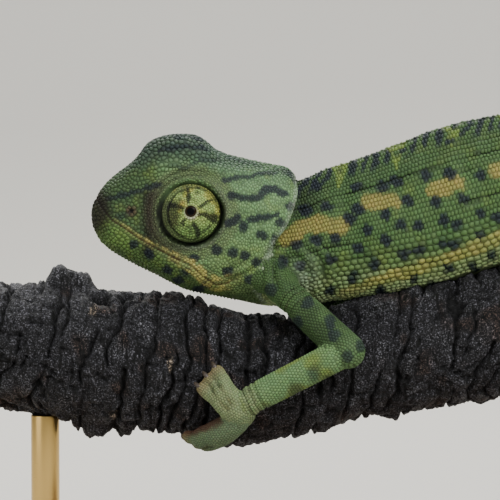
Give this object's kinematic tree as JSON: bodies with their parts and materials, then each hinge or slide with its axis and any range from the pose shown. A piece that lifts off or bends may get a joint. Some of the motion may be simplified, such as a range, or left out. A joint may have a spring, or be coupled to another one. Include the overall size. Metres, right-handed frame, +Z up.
{
  "type": "chameleon",
  "caption": "Life-size still model of a flap-necked chameleon gripping a cut length of charred bough, tail coiled, held over a flat wooden base by two short brass rods.",
  "frame": {"origin": "centre of the underside of the stand's base, where the whole model rests on a surface", "axes": "-X is where the head points, +X the tail, -Y the animal's left side, +Y its right side, +Z up"},
  "size_m": [0.1747, 0.084, 0.1015],
  "materials": {
    "scaly_skin": "granular scales with a dull gloss, green with dark blue spots and ochre patches",
    "eyelid_skin": "fine rings of scales, yellow-green with dark rays",
    "eye": "wet gloss, black",
    "bark": "charred bark, rough, cracked across",
    "plinth_wood": "oiled walnut, satin",
    "rod_brass": "satin brushed"
  },
  "bodies": {
    "root": {"belly": "scaly_skin", "chest": "scaly_skin", "eye_left": "eye", "eye_right": "eye", "eyelids_left": "eyelid_skin", "eyelids_right": "eyelid_skin", "fore_left_foot": "scaly_skin", "fore_left_lower_leg": "scaly_skin", "fore_left_upper_leg": "scaly_skin", "fore_right_foot": "scaly_skin", "fore_right_lower_leg": "scaly_skin", "fore_right_upper_leg": "scaly_skin", "head": "scaly_skin", "hind_left_foot": "scaly_skin", "hind_left_lower_leg": "scaly_skin", "hind_left_upper_leg": "scaly_skin", "hind_right_foot": "scaly_skin", "hind_right_lower_leg": "scaly_skin", "hind_right_upper_leg": "scaly_skin", "lower_jaw": "scaly_skin", "neck": "scaly_skin", "pelvis": "scaly_skin", "perch_bough": "bark", "stand_base": "plinth_wood", "stand_collar_front": "rod_brass", "stand_collar_rear": "rod_brass", "stand_rod_front": "rod_brass", "stand_rod_rear": "rod_brass", "tail_arch": "scaly_skin", "tail_curl": "scaly_skin", "tail_root": "scaly_skin", "tail_tip": "scaly_skin"}
  },
  "joints": []
}
